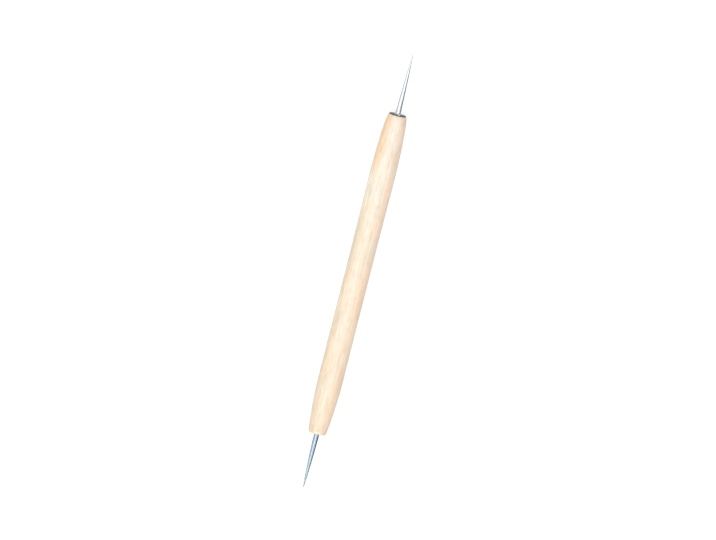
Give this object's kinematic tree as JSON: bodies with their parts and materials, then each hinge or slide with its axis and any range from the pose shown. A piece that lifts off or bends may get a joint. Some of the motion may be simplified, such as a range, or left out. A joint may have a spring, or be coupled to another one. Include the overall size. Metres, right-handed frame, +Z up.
{
  "type": "embossing stylus",
  "caption": "Embossing stylus: a slim turned wooden handle drawn in at both ends, with a tapered steel needle glued into each end and a thin dark washer under the longer needle.",
  "frame": {"origin": "bottom centre of the whole tool, on the surface that it lies on", "axes": "+X along the tool towards the longer needle, +Z up"},
  "size_m": [0.16, 0.0094, 0.0093],
  "materials": {
    "handle_wood": "pale close-grained hardwood, sanded smooth, with a thin clear satin seal",
    "upper_needle_steel": "polished, with very fine grinding marks round the needle",
    "lower_needle_steel": "polished, a little darker and bluer than the other needle",
    "cured_glue": "cured clear glue, slightly amber, smooth",
    "dark_steel": "blue-black, satin"
  },
  "bodies": {
    "root": {"handle": "handle_wood", "upper_needle": "upper_needle_steel", "lower_needle": "lower_needle_steel", "upper_glue": "cured_glue", "lower_glue": "cured_glue", "end_washer": "dark_steel"}
  },
  "joints": []
}
